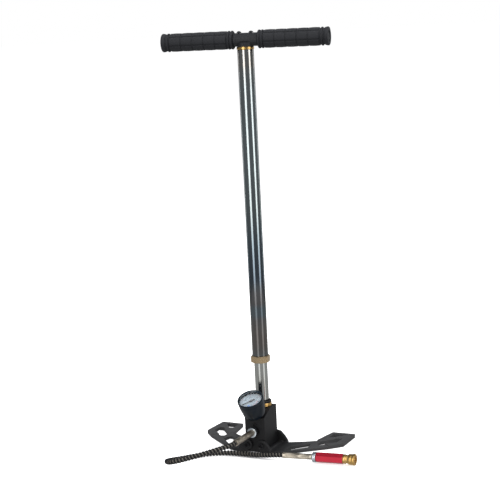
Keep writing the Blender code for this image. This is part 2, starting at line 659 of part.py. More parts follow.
def make_coupler():
    line = empty_at("coupler_line", COUPLER_START, (0, 90, COUPLER_TURN_DEG))
    end = END_FERRULE_LENGTH
    ferrule = [(0.0, end), (4.1, end), (4.5, end - 0.6), (4.5, 30.0), (4.2, 29.0), (4.2, 26.5), (4.5, 25.5),
               (4.5, 0.6), (4.0, 0.0), (0.0, 0.0)]
    turned("end_ferrule", ferrule, nickel(), steps=14, parent=line)
    nut = [(0.0, end + 6.0), (7.0, end + 6.0), (7.9, end + 5.2), (7.9, end + 1.2), (6.9, end + GAP),
           (0.0, end + GAP)]
    turned("coupler_nut", nut, zinc(), steps=16, parent=line)
    start = end + 6.3
    red = finish("red_anodised", (0.55, 0.04, 0.07), 0.3, 0.8)
    sleeve = hexagon("filter_sleeve", SLEEVE_ACROSS_FLATS, start + SLEEVE_LENGTH, start, red, parent=line,
                     turn=(0, 0, 30), chamfer=1.4)
    hollow = plug("filter_sleeve_bore", 5.3, start + 60, start + 6.0, None, steps=14)
    hollow.parent = line
    combine(sleeve, hollow)
    bronze = finish("sintered_bronze", (0.5, 0.36, 0.2), 0.8, 0.6)
    plug("filter_core", 4.9, start + 32.0, start + 6.4, bronze, steps=12, parent=line)
    make_socket(line, start + SLEEVE_LENGTH + GAP)


def make_socket(line, start):
    """Quick coupler: a hollow body with a sprung collar that pulls back along it."""
    tip = start + 18.0
    body = [(4.0, tip), (5.4, tip), (5.4, start + 7.6), (6.4, start + 7.4), (6.4, start + 4.2),
            (7.2, start + 3.5), (7.2, start), (4.9, start), (4.9, start - 9.0), (2.0, start - 9.0),
            (2.0, start + 4.0), (4.0, start + 4.0)]
    turned("coupler_body", body, brass(), closed=True, steps=18, parent=line)
    collar = [(5.7, tip + 0.9), (7.9, tip + 0.9), (8.6, tip + 0.3), (8.8, tip - 0.6), (8.2, start + 10.6),
              (7.9, start + 8.6), (7.6, start + 8.0), (7.2, start + 8.0), (7.2, start + 14.2),
              (5.7, start + 14.2)]
    turned("coupler_collar", collar, brass(), closed=True, steps=20, parent=line)
    coil("coupler_spring", 6.3, 0.42, start + 8.4, start + 10.5, 2, steel(), parent=line)
    ring("coupler_seal", 3.8, 2.6, start + 6.6, start + 4.4, rubber(), steps=12, parent=line)


def main():
    clear_scene()
    make_base_block()
    make_tube_seat()
    make_outlet_valve()
    make_bleed_screw()
    make_hose_fitting()
    make_gauge()
    handle = empty_at("handle_axis", (0, 0, 0), (0, 0, HANDLE_TURN_DEG))
    make_moving_tube(handle)
    make_hub(handle)
    make_grips(handle)
    make_foot("left_foot", -1)
    make_foot("right_foot", 1)
    make_pivot_screws()
    make_hose()
    make_coupler()


main()
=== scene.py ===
"""Looks for a double action hand pump: finer turned pieces, moulded grips, a sprung guard on the
hose, a printed dial and a finish for every piece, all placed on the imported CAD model.

Lengths are millimetres times MM, in the frame of the CAD: the origin is on the floor under the
tube axis, +Z runs up the tubes and -Y towards the gauge.
"""
import json
import math

import bmesh
import bpy
from mathutils import Matrix, Vector


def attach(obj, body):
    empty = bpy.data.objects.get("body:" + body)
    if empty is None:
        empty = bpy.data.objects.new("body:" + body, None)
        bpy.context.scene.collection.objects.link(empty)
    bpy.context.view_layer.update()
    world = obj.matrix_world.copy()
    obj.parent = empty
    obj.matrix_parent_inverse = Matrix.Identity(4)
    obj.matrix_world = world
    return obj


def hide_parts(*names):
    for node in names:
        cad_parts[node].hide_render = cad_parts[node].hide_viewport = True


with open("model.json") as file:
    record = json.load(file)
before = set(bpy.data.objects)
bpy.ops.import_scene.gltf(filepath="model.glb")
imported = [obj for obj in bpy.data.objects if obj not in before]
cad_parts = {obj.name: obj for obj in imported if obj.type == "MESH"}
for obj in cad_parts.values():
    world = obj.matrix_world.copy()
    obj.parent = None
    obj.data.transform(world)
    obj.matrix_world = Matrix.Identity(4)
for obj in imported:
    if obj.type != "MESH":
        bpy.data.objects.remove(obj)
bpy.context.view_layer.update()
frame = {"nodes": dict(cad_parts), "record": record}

MM = 0.001
FINE = 96

# Stage and camera
CAMERA_PLACE = (0.9959, -1.9545, 0.6744)
CAMERA_HEADING = 27.21
CAMERA_DIP = 9.37
CAMERA_ROLL = -2.84
CAMERA_LENS = 104.37
FLOOR_R = 40.0
FLOOR_GLOW = 0.62
TABLE_SHEEN_R = 0.74
TABLE_SHEEN_GLOW = 0.6
TABLE_SHEEN_SHARE = 0.6
ROOM_LIGHT = (0.42, 0.42, 0.43)
ROOM_IN_METAL = (0.16, 0.17, 0.18)

# Lights, as (degrees from the camera, half width in degrees) for the strips
STRIPS = ((-31.0, 12.0), (54.0, 11.0))
STRIP_REACH = 2.4
STRIP_MIDDLE = 0.9
STRIP_TALL = 4.6
STRIP_GLOW = 2.3
RIMS = (128.0, -132.0)
RIM_REACH = 2.6
RIM_GLOW = 1.5
OVERHEAD_GLOW = 2.4
TOP_GLINT_GLOW = 3.0

# Hose and coupler, as the CAD lays them
CORE_R = 2.9
GUARD_REACH = 3.42
GUARD_HALF_WIDTH = 1.7
GUARD_HALF_THICK = 0.6
GUARD_PITCH = 5.0
GUARD_STEPS = 16
FLUTES = 10
HOSE_ROUTE = [
    (0.0, -97.9, 33.5), (-0.7, -105.0, 33.4), (-4.6, -114.0, 32.6), (-11.5, -122.5, 31.2),
    (-21.0, -130.8, 29.0), (-32.5, -138.8, 26.0), (-45.5, -146.8, 22.5), (-59.0, -153.8, 18.9),
    (-71.8, -156.6, 15.8), (-84.2, -153.4, 12.6), (-93.8, -143.6, 9.5), (-97.3, -131.2, 6.8),
    (-94.2, -118.2, 4.9), (-86.0, -105.2, 4.2), (-75.0, -91.6, 4.2), (-63.8, -79.6, 4.2),
    (-51.2, -69.8, 4.2), (-36.8, -63.0, 4.2), (-20.5, -59.2, 4.2), (-3.0, -57.8, 4.2),
    (15.0, -58.4, 4.7), (31.0, -59.8, 6.3), (45.5, -60.2, 8.2), (59.7, -58.93, 9.0),
]
COUPLER_START = (60.0, -58.9, 9.0)
COUPLER_TURN = 6.36
OUTLET_Z = 33.5
FERRULE_NEAR = 43.3
FERRULE_FAR = 97.3
END_FERRULE = 47.5
SLEEVE_LENGTH = 41.6

# Gauge and handle
GAUGE_CENTRE = (0.0, -42.0, 88.0)
GAUGE_LEAN = 26.0
DIAL_FACE = -7.2
DIAL_R = 17.0
DIAL_ZERO = 225.0
DIAL_SWEEP = 270.0
HANDLE_TURN = 12.0
HANDLE_HEIGHT = 631.9
LEFT_GRIP_START = 17.6
RIGHT_GRIP_START = 21.3
GRIP_END = 129.0
GRIP_BORE = 7.95
TUBE_FOOT = 142.7
TUBE_TOP = 617.0


# ---------------------------------------------------------------- camera, floor and light

def set_camera():
    camera = bpy.data.objects.new("camera", bpy.data.cameras.new("camera"))
    camera.data.lens = CAMERA_LENS
    camera.data.clip_end = 50.0
    turn = Matrix.Rotation(math.radians(CAMERA_HEADING), 4, "Z")
    dip = Matrix.Rotation(math.radians(90.0 - CAMERA_DIP), 4, "X")
    roll = Matrix.Rotation(math.radians(CAMERA_ROLL), 4, "Z")
    camera.matrix_world = Matrix.Translation(CAMERA_PLACE) @ turn @ dip @ roll
    bpy.context.scene.collection.objects.link(camera)
    bpy.context.scene.camera = camera


def stage_disc(name, radius, height, material):
    mesh = bpy.data.meshes.new(name)
    form = bmesh.new()
    bmesh.ops.create_circle(form, cap_ends=True, segments=96, radius=radius)
    form.to_mesh(mesh)
    form.free()
    disc = bpy.data.objects.new(name, mesh)
    disc.location.z = height
    mesh.materials.append(material)
    bpy.context.scene.collection.objects.link(disc)
    return disc


def area_light(name, place, aim, width, height, glow):
    """A soft box that shines with a glow as bright as a white wall times that number."""
    lamp = bpy.data.lights.new(name, "AREA")
    lamp.shape = "RECTANGLE"
    lamp.size = width
    lamp.size_y = height
    lamp.energy = glow * math.pi * width * height
    light = bpy.data.objects.new(name, lamp)
    light.location = place
    light.rotation_euler = (Vector(aim) - Vector(place)).to_track_quat("-Z", "Y").to_euler()
    light.visible_camera = False
    bpy.context.scene.collection.objects.link(light)
    return light


def sheen_of_table():
    """What polished metal sees of the table: a dim white, with the lights showing through."""
    f = Finish("table_sheen")
    glow = f.tree.nodes.new("ShaderNodeEmission")
    glow.inputs["Strength"].default_value = TABLE_SHEEN_GLOW
    clear = f.tree.nodes.new("ShaderNodeBsdfTransparent")
    both = f.tree.nodes.new("ShaderNodeMixShader")
    both.inputs[0].default_value = TABLE_SHEEN_SHARE
    f.tree.links.new(clear.outputs[0], both.inputs[1])
    f.tree.links.new(glow.outputs[0], both.inputs[2])
    f.tree.links.new(both.outputs[0], f.tree.nodes["Material Output"].inputs["Surface"])
    return f.material


def set_floor():
    """A pale floor with a painted glow that stops near the base, leaving the floor darker round it, and its
    sheen for the polished metal.
    """
    white = Finish("pale_floor")
    white.dress(colour=(0.93, 0.93, 0.93), roughness=0.9, metallic=0.0, specular=0.0)
    away = white.node("VectorMath", {"operation": "LENGTH"}, {0: white.place()}, "Value")
    # painted glow, off near the base: the floor is darker there, a painted contact shadow added to the real
    # shadow
    painted_glow = white.blend(white.step(away, 0.045, 0.10), (0.0, 0.0, 0.0), (1.0, 1.0, 1.0))
    white.feed(white.shader.inputs["Emission Color"], painted_glow)
    white.shader.inputs["Emission Strength"].default_value = FLOOR_GLOW
    floor = stage_disc("floor", FLOOR_R, -0.4 * MM, white.material)
    floor.visible_glossy = floor.visible_diffuse = False
    sheen = stage_disc("table_sheen", TABLE_SHEEN_R, -0.2 * MM, sheen_of_table())
    sheen.visible_camera = sheen.visible_diffuse = sheen.visible_shadow = False


def set_room():
    """A room that is white to the camera, and dimmer as a light and in metal."""
    world = bpy.data.worlds.new("room")
    bpy.context.scene.world = world
    world.use_nodes = True
    nodes, links = world.node_tree.nodes, world.node_tree.links
    white_room = nodes["Background"]
    white_room.inputs["Color"].default_value = (1.0, 1.0, 1.0, 1.0)
    path = nodes.new("ShaderNodeLightPath")
    shown = white_room.outputs[0]
    for ray, colour in (("Is Diffuse Ray", ROOM_LIGHT), ("Is Glossy Ray", ROOM_IN_METAL)):
        seen = nodes.new("ShaderNodeBackground")
        seen.inputs["Color"].default_value = (*colour, 1.0)
        choice = nodes.new("ShaderNodeMixShader")
        links.new(path.outputs[ray], choice.inputs[0])
        links.new(shown, choice.inputs[1])
        links.new(seen.outputs[0], choice.inputs[2])
        shown = choice.outputs[0]
    links.new(shown, nodes["World Output"].inputs["Surface"])


def round_the_pump(angle, reach, height):
    """A place at an angle from the camera's side of the pump, seen from above."""
    way = math.radians(CAMERA_HEADING - 90.0) + math.radians(angle)
    return reach * math.cos(way), reach * math.sin(way), height


def set_lights():
    """Two tall strips in front, two thin ones behind and a soft box above."""
    for n, (angle, half_width) in enumerate(STRIPS):
        width = 2 * STRIP_REACH * math.tan(math.radians(half_width))
        place = round_the_pump(angle, STRIP_REACH, STRIP_MIDDLE)
        area_light(f"strip_{n}", place, (0.0, 0.0, STRIP_MIDDLE), width, STRIP_TALL, STRIP_GLOW)
    for n, angle in enumerate(RIMS):
        area_light(f"rim_{n}", round_the_pump(angle, RIM_REACH, 1.0), (0.0, 0.0, 0.7), 0.35, 3.0, RIM_GLOW)
    overhead = area_light("overhead", (0.1, 0.2, 2.4), (0.0, 0.0, 0.0), 3.2, 3.2, OVERHEAD_GLOW)
    overhead.visible_glossy = False
    area_light("top_glint", (0.4, -0.7, 2.4), (0.0, 0.0, 0.0), 0.5, 0.9, TOP_GLINT_GLOW)


# ---------------------------------------------------------------- finishes

class Value:
    """A socket of a finish. Sums, differences, products and quotients add Math nodes."""

    def __init__(self, finish, socket):
        self.finish = finish
        self.socket = socket

    def maths(self, operation, *others):
        return self.finish.node("Math", {"operation": operation}, dict(enumerate((self, *others))))

    def __add__(self, other):
        return self.maths("ADD", other)

    def __sub__(self, other):
        return self.maths("SUBTRACT", other)

    def __rsub__(self, other):
        return self.finish.node("Math", {"operation": "SUBTRACT"}, {0: other, 1: self})

    def __mul__(self, other):
        return self.maths("MULTIPLY", other)

    def __truediv__(self, other):
        return self.maths("DIVIDE", other)

    __radd__ = __add__
    __rmul__ = __mul__


class Finish:
    """A material that is built node by node around its Principled shader."""

    def __init__(self, name):
        self.material = bpy.data.materials.new(name)
        self.material.use_nodes = True
        self.tree = self.material.node_tree
        self.shader = self.tree.nodes["Principled BSDF"]

    def feed(self, socket, value):
        if isinstance(value, Value):
            self.tree.links.new(value.socket, socket)
        elif socket.type == "RGBA":
            socket.default_value = (*value, 1.0)
        else:
            socket.default_value = value

    def node(self, kind, settings, sockets, output=0):
        """Adds a node of a type with its settings, then the values or links of its sockets."""
        made = self.tree.nodes.new("ShaderNode" + kind)
        for name, setting in settings.items():
            if name == "stops":
                self.fill_ramp(made.color_ramp, setting)
            else:
                setattr(made, name, setting)
        for name, value in sockets.items():
            self.feed(made.inputs[name], value)
        return Value(self, made.outputs[output])

    def fill_ramp(self, ramp, stops):
        while len(ramp.elements) < len(stops):
            ramp.elements.new(1.0)
        for element, (place, colour) in zip(ramp.elements, stops):
            element.position = place
            element.color = (*colour, 1.0)

    def place(self, stretch=(1.0, 1.0, 1.0)):
        """A point of the piece in metres, stretched along each axis."""
        spot = self.node("TexCoord", {}, {}, "Object")
        return self.node("VectorMath", {"operation": "MULTIPLY"}, {0: spot, 1: stretch})

    def height(self):
        return self.node("SeparateXYZ", {}, {0: self.place()}, "Z")

    def grain(self, scale, stretch=(1.0, 1.0, 1.0), detail=3.0, rough=0.55):
        """Noise from 0 to 1 with scale grains a metre."""
        sockets = {"Vector": self.place(stretch), "Scale": scale, "Detail": detail, "Roughness": rough}
        return self.node("TexNoise", {}, sockets)

    def cells(self, scale, stretch=(1.0, 1.0, 1.0)):
        return self.node("TexVoronoi", {}, {"Vector": self.place(stretch), "Scale": scale})

    def ramp(self, value, stops):
        return self.node("ValToRGB", {"stops": stops}, {0: value})

    def step(self, value, low, high):
        """0 below low, 1 above high, smooth between."""
        sockets = {"Value": value, "From Min": low, "From Max": high}
        return self.node("MapRange", {"interpolation_type": "SMOOTHSTEP"}, sockets)

    def blend(self, share, first, second):
        """Mixes two colours."""
        return self.node("Mix", {"data_type": "RGBA"}, {0: share, 6: first, 7: second}, 2)

    def edges(self, radius):
        """1 along edges of the piece, 0 on its faces."""
        soft = self.node("Bevel", {"samples": 6}, {"Radius": radius * MM})
        flat = self.node("NewGeometry", {}, {}, "Normal")
        same = self.node("VectorMath", {"operation": "DOT_PRODUCT"}, {0: soft, 1: flat}, "Value")
        return self.step(1.0 - same, 0.02, 0.16)

    def relief(self, height, depth):
        """A normal from a height from 0 to 1 that stands for depth millimetres."""
        return self.node("Bump", {}, {"Height": height, "Distance": depth * MM, "Strength": 1.0})

    def dress(self, colour, roughness, metallic=None, normal=None, **constants):
        """Feeds the shader. Constants are named with _ for a space."""
        self.feed(self.shader.inputs["Base Color"], colour)
        self.feed(self.shader.inputs["Roughness"], roughness)
        if metallic is not None:
            self.feed(self.shader.inputs["Metallic"], metallic)
        if normal is not None:
            self.feed(self.shader.inputs["Normal"], normal)
        names = {
            "specular": "Specular IOR Level", "coat": "Coat Weight", "coat_roughness": "Coat Roughness",
            "transmission": "Transmission Weight", "ior": "IOR", "sheen": "Sheen Weight",
        }
        for name, value in constants.items():
            self.feed(self.shader.inputs[names[name]], value)
        return self.material


def reflection_painted_steel():
    """Outer tube: polished, with painted reflections along its length: brown, teal and blue bands, darker
    over the lower half.
    """
    f = Finish("reflection_painted_steel")
    along = (f.height() - TUBE_FOOT * MM) / ((TUBE_TOP - TUBE_FOOT) * MM)
    along = along + (f.grain(14.0, (1.0, 1.0, 1.6)) - 0.5) * 0.03
    # painted reflection: bands of the surroundings and a dimmer lower half, set into the colour by height
    painted_reflection_bands = f.ramp(along, [
        (0.00, (0.160, 0.175, 0.180)), (0.047, (0.155, 0.140, 0.130)), (0.089, (0.165, 0.150, 0.142)),
        (0.131, (0.150, 0.148, 0.150)), (0.148, (0.125, 0.155, 0.175)), (0.168, (0.125, 0.155, 0.175)),
        (0.184, (0.150, 0.148, 0.150)), (0.216, (0.180, 0.180, 0.185)), (0.239, (0.170, 0.190, 0.205)),
        (0.268, (0.145, 0.180, 0.215)), (0.374, (0.220, 0.270, 0.300)), (0.50, (0.360, 0.405, 0.400)),
        (0.627, (0.420, 0.465, 0.470)), (0.88, (0.430, 0.470, 0.475)), (0.93, (0.450, 0.465, 0.455)),
        (0.953, (0.490, 0.460, 0.420)), (1.0, (0.530, 0.510, 0.480)),
    ])
    lines = f.grain(1.0, (2600.0, 2600.0, 12.0), 2.0)
    smear = f.grain(60.0, (1.0, 1.0, 0.5), 4.0)
    colour = f.blend(f.step(smear, 0.45, 0.75) * 0.2, painted_reflection_bands, (0.24, 0.25, 0.25))
    rough = 0.11 + 0.05 * lines + 0.06 * f.step(smear, 0.5, 0.8)
    return f.dress(colour, rough, 1.0, f.relief(lines, 0.0012))


def hard_chrome():
    """Inner tube: ground chrome with fine rings and a thin film of grease."""
    f = Finish("hard_chrome")
    lines = f.grain(1.0, (300.0, 300.0, 9000.0), 2.0)
    film = f.grain(90.0, (1.0, 1.0, 0.35), 4.0)
    colour = f.blend(f.step(film, 0.4, 0.7), (0.52, 0.53, 0.51), (0.44, 0.44, 0.41))
    return f.dress(colour, 0.09 + 0.10 * film, 1.0, f.relief(lines, 0.0008))


def turned_brass(name="turned_brass", base=(0.80, 0.50, 0.17), dull=(0.52, 0.31, 0.10)):
    f = Finish(name)
    rings = f.grain(1.0, (900.0, 900.0, 5200.0), 2.0)
    stain = f.grain(130.0, detail=4.0)
    worn = f.edges(0.5)
    colour = f.blend(f.step(stain, 0.5, 0.76) * 0.45, base, dull)
    colour = f.blend(worn * 0.6, colour, (0.95, 0.78, 0.46))
    rough = 0.22 + 0.08 * rings + 0.10 * f.step(stain, 0.45, 0.8)
    return f.dress(colour, rough, 1.0, f.relief(rings, 0.0006))


def plated(name, base, dull, roughness, line_stretch=(700.0, 700.0, 700.0)):
    """Plated, oxidised and bare metals: fine machining lines and slight staining."""
    f = Finish(name)
    lines = f.grain(1.0, line_stretch, 2.0)
    stain = f.grain(260.0, detail=5.0)
    colour = f.blend(f.step(stain, 0.46, 0.74) * 0.7, base, dull)
    rough = roughness + 0.08 * lines + 0.08 * f.step(stain, 0.5, 0.8)
    return f.dress(colour, rough, 1.0, f.relief(lines, 0.0006))


def red_anodised():
    f = Finish("red_anodised")
    lines = f.grain(1.0, (60.0, 3600.0, 3600.0), 2.0)
    cloud = f.grain(150.0, detail=4.0)
    worn = f.edges(0.35)
    colour = f.blend(cloud, (0.66, 0.022, 0.052), (0.52, 0.014, 0.036))
    colour = f.blend(worn * 0.35, colour, (0.80, 0.20, 0.22))
    return f.dress(colour, 0.30 + 0.10 * lines, 0.75, f.relief(lines, 0.003), coat=0.25, coat_roughness=0.2)


def black_anodised():
    """Base block: satin black with a fine bead-blast grain and edges rubbed a little grey."""
    f = Finish("black_anodised")
    blast = f.grain(2600.0, detail=2.0)
    cloud = f.grain(45.0, detail=4.0)
    worn = f.edges(0.6)
    colour = f.blend(cloud, (0.006, 0.006, 0.007), (0.011, 0.011, 0.012))
    colour = f.blend(worn * f.step(cloud, 0.35, 0.65) * 0.5, colour, (0.06, 0.06, 0.063))
    return f.dress(colour, 0.42 + 0.12 * blast, 0.0, f.relief(blast, 0.012), specular=0.35)


def powder_coat():
    """Handle hub: coarse black powder coat with orange peel."""
    f = Finish("powder_coat")
    peel = f.grain(950.0, detail=3.0)
    cloud = f.grain(120.0, detail=4.0)
    colour = f.blend(f.step(peel, 0.35, 0.75), (0.010, 0.011, 0.013), (0.026, 0.027, 0.031))
    return f.dress(colour, 0.42 + 0.2 * cloud, 0.0, f.relief(peel, 0.07), specular=0.4)


def grey_casting():
    """Feet: die casting under grey lacquer, with painted shade turning it black by the pivots next to the
    block and grey at the pedals.
    """
    f = Finish("grey_casting")
    skin = f.grain(900.0, detail=4.0)
    flow = f.grain(38.0, (1.0, 2.2, 1.0), 5.0)
    worn = f.edges(0.7)
    sideways = f.node("SeparateXYZ", {}, {0: f.place()}, "X").maths("ABSOLUTE")
    # painted shade: the feet go near black within a few centimetres of the block's sides
    clear_of_painted_shade = f.step(sideways, 0.025, 0.085)
    colour = f.blend(flow, (0.040, 0.040, 0.041), (0.062, 0.062, 0.063))
    colour = f.blend(clear_of_painted_shade, (0.011, 0.011, 0.012), colour)
    colour = f.blend(worn * f.step(flow, 0.3, 0.6) * 0.4, colour, (0.14, 0.14, 0.14))
    return f.dress(colour, 0.42 + 0.18 * flow, 0.2, f.relief(skin, 0.05))


def grip_rubber():
    f = Finish("grip_rubber")
    pores = f.grain(1900.0, detail=2.0)
    wear = f.grain(55.0, detail=5.0)
    colour = f.blend(wear, (0.014, 0.015, 0.018), (0.023, 0.024, 0.028))
    return f.dress(colour, 0.54 + 0.18 * wear, 0.0, f.relief(pores, 0.03), sheen=0.02, specular=0.35)


def seal_rubber():
    f = Finish("seal_rubber")
    pores = f.grain(2600.0, detail=2.0)
    colour = f.blend(pores, (0.010, 0.009, 0.010), (0.018, 0.016, 0.017))
    return f.dress(colour, 0.36 + 0.2 * pores, 0.0, f.relief(pores, 0.01), specular=0.4)


def gauge_enamel():
    """Gauge case and bezel: glossy blue-black moulding with faint flow marks."""
    f = Finish("gauge_enamel")
    flow = f.grain(70.0, detail=4.0)
    skin = f.grain(1500.0, detail=2.0)
    colour = f.blend(flow, (0.002, 0.006, 0.011), (0.004, 0.011, 0.020))
    return f.dress(colour, 0.24 + 0.12 * flow, 0.0, f.relief(skin, 0.004), specular=0.45)


def dial_paint():
    f = Finish("dial_paint")
    cloud = f.grain(160.0, detail=5.0)
    colour = f.blend(cloud, (0.25, 0.32, 0.38), (0.31, 0.38, 0.43))
    return f.dress(colour, 0.5 + 0.1 * cloud, 0.0, f.relief(cloud, 0.01))


def ink(name, colour):
    f = Finish(name)
    wear = f.grain(1400.0, detail=3.0)
    return f.dress(f.blend(f.step(wear, 0.6, 0.85), colour, (0.25, 0.30, 0.34)), 0.55 + 0.1 * wear, 0.0)


def lens_glass():
    f = Finish("lens_glass")
    smudge = f.grain(180.0, detail=5.0)
    return f.dress((1.0, 1.0, 1.0), 0.01 + 0.07 * f.step(smudge, 0.5, 0.8), 0.0, transmission=1.0, ior=1.45)


def braided_hose():
    """Pressure hose under its guard: woven, pale and a little soiled."""
    f = Finish("braided_hose")
    weave = f.node("TexWave", {"wave_type": "BANDS", "bands_direction": "DIAGONAL"},
                   {"Vector": f.place(), "Scale": 420.0, "Distortion": 1.5})
    soil = f.grain(160.0, detail=5.0)
    colour = f.blend(weave, (0.10, 0.09, 0.075), (0.24, 0.22, 0.19))
    colour = f.blend(f.step(soil, 0.5, 0.75) * 0.6, colour, (0.09, 0.08, 0.07))
    return f.dress(colour, 0.45 + 0.2 * soil, 0.15, f.relief(weave, 0.12))


def oxide_wire():
    f = Finish("oxide_wire")
    scale = f.grain(1500.0, detail=4.0)
    colour = f.blend(f.step(scale, 0.45, 0.75), (0.007, 0.007, 0.008), (0.022, 0.021, 0.020))
    return f.dress(colour, 0.30 + 0.2 * scale, 0.3, f.relief(scale, 0.02))


def sintered_bronze():
    f = Finish("sintered_bronze")
    beads = f.cells(2200.0)
    colour = f.blend(beads, (0.50, 0.36, 0.20), (0.14, 0.09, 0.05))
    return f.dress(colour, 0.6 + 0.2 * beads, 0.7, f.relief(1.0 - beads, 0.2))


# ---------------------------------------------------------------- making pieces

def mm(values):
    return Vector([value * MM for value in values])


def piece_from(name, form, material, placing, body, slot, *nodes):
    """Ends a form as a piece: placed, smoothed, dressed, riding on a body and standing for nodes."""
    bmesh.ops.recalc_face_normals(form, faces=form.faces)
    mesh = bpy.data.meshes.new(name)
    form.to_mesh(mesh)
    form.free()
    mesh.transform(placing)
    mesh.materials.append(material)
    for face in mesh.polygons:
        face.use_smooth = True
    mesh.set_sharp_from_angle(angle=math.radians(38.0))
    piece = bpy.data.objects.new(name, mesh)
    bpy.context.scene.collection.objects.link(piece)
    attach(piece, body)
    if nodes:
        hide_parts(*nodes)
    return piece


def skin_rings(form, rings, closed_ends=False, loop=False):
    """Joins rings of the same count of points with quads."""
    grid = [[form.verts.new(point) for point in ring] for ring in rings]
    count = len(grid[0])
    pairs = list(zip(grid, grid[1:])) + ([(grid[-1], grid[0])] if loop else [])
    for one, two in pairs:
        for k in range(count):
            nxt = (k + 1) % count
            form.faces.new((one[k], one[nxt], two[nxt], two[k]))
    if closed_ends:
        form.faces.new(grid[0])
        form.faces.new(list(reversed(grid[-1])))


def eased(profile, ease):
    """Rounds the corners of a closed (radius, height) outline with three points each."""
    points = []
    count = len(profile)
    for k in range(count):
        here = Vector(profile[k])
        back, on = Vector(profile[k - 1]) - here, Vector(profile[(k + 1) % count]) - here
        reach = min(ease, back.length * 0.4, on.length * 0.4)
        first, last = here + back.normalized() * reach, here + on.normalized() * reach
        points += [first, (first + last) / 4 + here / 2, last]
    return points


def turned(name, profile, material, placing, body, slot, node, ease=0.25, steps=FINE):
    """A closed outline of (radius, height) points in millimetres, turned about local Z."""
    form = bmesh.new()
    rings = []
    for radius, height in eased(profile, ease):
        ring = []
        for k in range(steps):
            angle = math.tau * k / steps
            ring.append(mm((radius * math.cos(angle), radius * math.sin(angle), height)))
        rings.append(ring)
    skin_rings(form, rings, loop=True)
    return piece_from(name, form, material, placing, body, slot, node)


def at(place=(0, 0, 0), turn=(0, 0, 0)):
    spin = Matrix.Identity(4)
    for angle, axis in zip(reversed(turn), "ZYX"):
        spin = spin @ Matrix.Rotation(math.radians(angle), 4, axis)
    return Matrix.Translation(mm(place)) @ spin


FORWARD = at((0, 0, OUTLET_Z), (90, 0, 0))
COUPLER = at(COUPLER_START, (0, 90, COUPLER_TURN))
GAUGE = at(GAUGE_CENTRE, (GAUGE_LEAN, 0, 0))
HANDLE = at((0, 0, HANDLE_HEIGHT), (0, 0, HANDLE_TURN))


def smooth_route(points, count):
    """Evenly spaced points on a smooth curve through the route."""
    ends = [2 * points[0] - points[1]] + points + [2 * points[-1] - points[-2]]
    fine = []
    for i in range(1, len(ends) - 2):
        p0, p1, p2, p3 = ends[i - 1:i + 3]
        for step in range(24):
            t = step / 24
            fine.append(0.5 * (2 * p1 + (p2 - p0) * t + (2 * p0 - 5 * p1 + 4 * p2 - p3) * t * t
                               + (3 * p1 - p0 - 3 * p2 + p3) * t ** 3))
    fine.append(points[-1])
    run = [0.0]
    for a, b in zip(fine, fine[1:]):
        run.append(run[-1] + (b - a).length)
    spaced, k = [], 0
    for n in range(count):
        want = run[-1] * n / (count - 1)
        while k < len(run) - 2 and run[k + 1] < want:
            k += 1
        spaced.append(fine[k].lerp(fine[k + 1], (want - run[k]) / (run[k + 1] - run[k])))
    return spaced, run[-1]


def carried_frames(points):
    """A pair of cross directions at each point, carried along without twist."""
    frames = []
    side = Vector((0.0, 0.0, 1.0))
    for n, point in enumerate(points):
        ahead = points[min(n + 1, len(points) - 1)] - points[max(n - 1, 0)]
        ahead.normalize()
        side = (side - ahead * side.dot(ahead)).normalized()
        frames.append((side, ahead.cross(side)))
    return frames


def tube_along(name, points, radius, around, material, body, slot, nodes=()):
    """A tube through points; radius is a number or a function of the point's number."""
    form = bmesh.new()
    rings = []
    for n, (point, (side, up)) in enumerate(zip(points, carried_frames(points))):
        size = radius(n) if callable(radius) else radius
        ring = []
        for k in range(around):
            angle = math.tau * k / around
            ring.append(point + (side * math.cos(angle) + up * math.sin(angle)) * size * MM)
        rings.append(ring)
    skin_rings(form, rings, closed_ends=True)
    return piece_from(name, form, material, Matrix.Identity(4), body, slot, *nodes)


# ---------------------------------------------------------------- hose

def make_hose(core_finish, wire_finish):
    route = [mm(point) for point in HOSE_ROUTE]
    line, length = smooth_route(route, 260)
    core = tube_along("hose_core", line, CORE_R, 20, core_finish, "base", "black_rubber", ["hose"])
    turns = length / (GUARD_PITCH * MM)
    steps = int(turns * GUARD_STEPS)
    fine, _ = smooth_route(route, steps + 1)
    guard = wound_strip(fine, wire_finish)
    bpy.context.view_layer.update()


def wound_strip(line, material):
    """The guard: a flat oval wire wound round the hose, with GUARD_STEPS stations to a turn."""
    form = bmesh.new()
    rings = []
    for n, (point, (side, up)) in enumerate(zip(line, carried_frames(line))):
        angle = math.tau * n / GUARD_STEPS
        out = side * math.cos(angle) + up * math.sin(angle)
        ahead = side.cross(up)
        ring = []
        for k in range(12):
            turn = math.tau * k / 12
            reach = GUARD_REACH + GUARD_HALF_THICK * math.cos(turn)
            ring.append(point + (out * reach + ahead * GUARD_HALF_WIDTH * math.sin(turn)) * MM)
        rings.append(ring)
    skin_rings(form, rings, closed_ends=True)
    return piece_from("spring_guard", form, material, Matrix.Identity(4), "base", "black_rubber", "hose")


def crimped_sleeve(name, stations, material, placing, body, slot, node):
    """A ferrule with lengthwise flutes; stations are (height, radius, flute depth)."""
    form = bmesh.new()
    rings = []
    for height, radius, depth in stations:
        ring = []
        for k in range(FINE):
            angle = math.tau * k / FINE
            flute = max(0.0, math.cos(FLUTES * angle)) ** 3
            reach = radius - depth * flute
            ring.append(mm((reach * math.cos(angle), reach * math.sin(angle), height)))
        rings.append(ring)
    skin_rings(form, rings, closed_ends=True)
    return piece_from(name, form, material, placing, body, slot, node)


